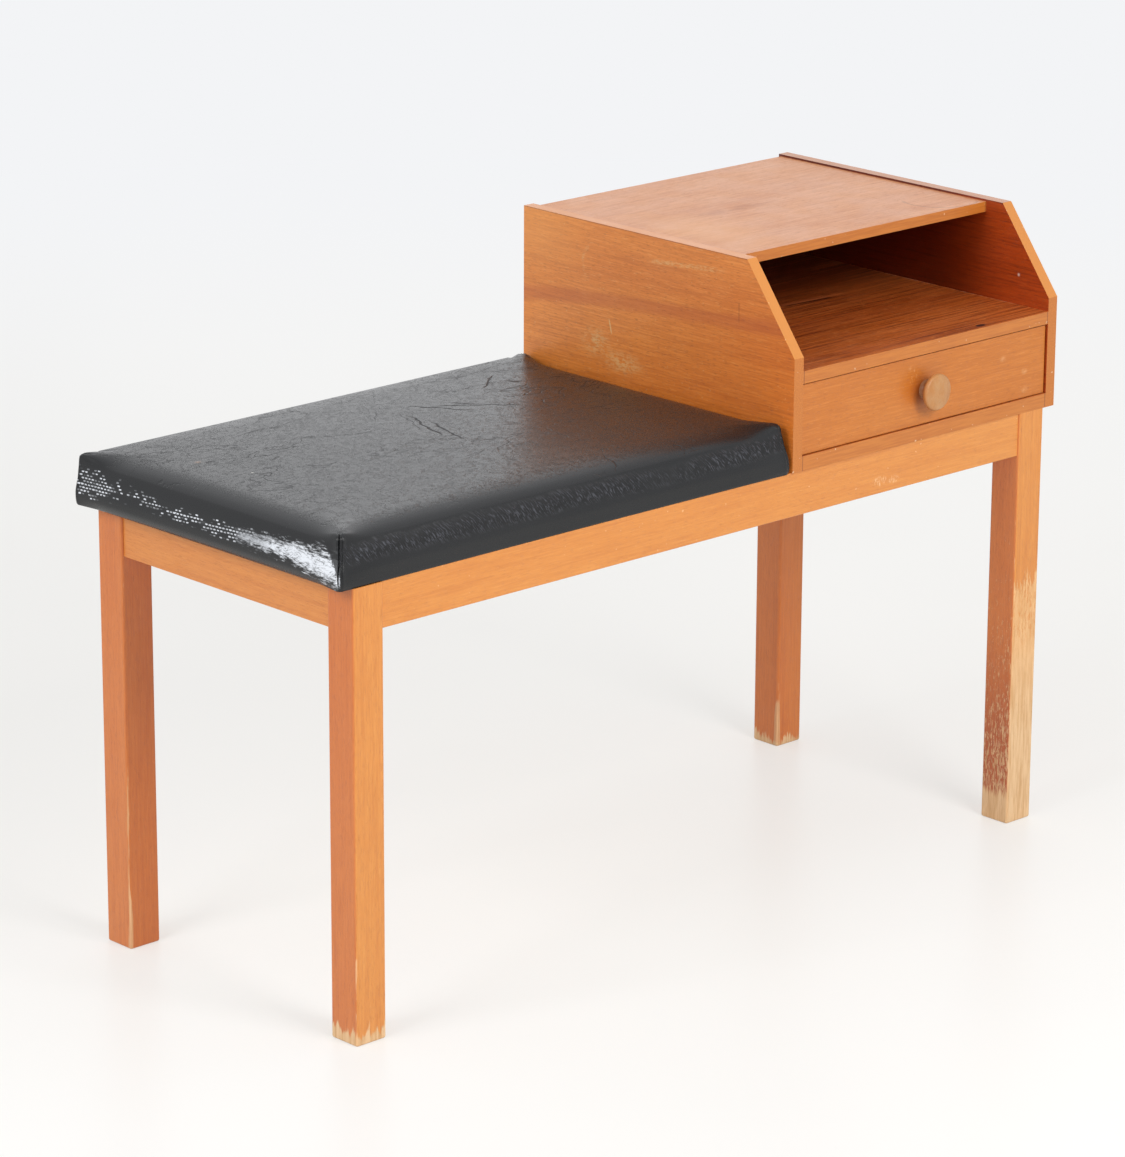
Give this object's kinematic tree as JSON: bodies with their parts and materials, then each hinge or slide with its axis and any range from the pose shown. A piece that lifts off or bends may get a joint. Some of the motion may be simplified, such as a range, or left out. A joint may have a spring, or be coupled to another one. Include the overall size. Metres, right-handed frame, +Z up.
{
  "type": "telephone bench",
  "caption": "Low bench on four square legs, with a padded seat at one end and, at the other, a small cabinet with an open telephone shelf over a drawer.",
  "frame": {"origin": "on the floor, under the centre of the overall box (seat overhang, cabinet and knob included)", "axes": "+X along the bench from the seat to the cabinet, +Y from the drawer side to the back, +Z up"},
  "size_m": [0.8996, 0.376, 0.603],
  "materials": {
    "stained_beech": "orange-brown stained and lacquered beech, satin",
    "plain_beech": "bare beech",
    "plywood": "bare plywood",
    "thin_board": "brown thin board, matt",
    "seat_foam": "open-cell seat foam",
    "black_vinyl": "charcoal black coated cloth, satin, worn through at the left end",
    "teak_veneer": "oiled teak veneer, satin",
    "drawer_wood": "pale hardwood, bare",
    "turned_knob": "turned hardwood, satin, rubbed pale",
    "steel": "plain steel"
  },
  "bodies": {
    "bench": {"leg_front_left": "stained_beech", "leg_front_right": "stained_beech", "leg_back_left": "stained_beech", "leg_back_right": "stained_beech", "front_rail": "stained_beech", "back_rail": "stained_beech", "left_end_rail": "stained_beech", "right_end_rail": "stained_beech", "cross_rail": "plain_beech", "corner_block_front_left": "plain_beech", "corner_block_front_right": "plain_beech", "corner_block_back_left": "plain_beech", "corner_block_back_right": "plain_beech", "rail_dowels": "plain_beech", "seat_board": "plywood", "seat_foam": "seat_foam", "seat_cover": "black_vinyl", "seat_staples": "steel", "seat_screws": "steel", "left_side_panel": "teak_veneer", "right_side_panel": "teak_veneer", "cabinet_top": "teak_veneer", "cabinet_shelf": "teak_veneer", "cabinet_bottom": "teak_veneer", "cabinet_back": "thin_board", "cabinet_dowels": "plain_beech", "back_pins": "steel", "cabinet_screws": "steel", "drawer_runner_left": "plain_beech", "drawer_runner_right": "plain_beech", "runner_screws": "steel"},
    "drawer": {"drawer_front": "teak_veneer", "drawer_side_left": "drawer_wood", "drawer_side_right": "drawer_wood", "drawer_back": "drawer_wood", "drawer_bottom": "thin_board", "drawer_dowels": "plain_beech", "drawer_pins": "steel", "drawer_knob": "turned_knob", "knob_screw": "steel"}
  },
  "joints": [
    {"name": "drawer_slide", "type": "slide", "parent": "bench", "child": "drawer", "axis": [0, -1, 0], "range_m": [0, 0.25]}
  ]
}
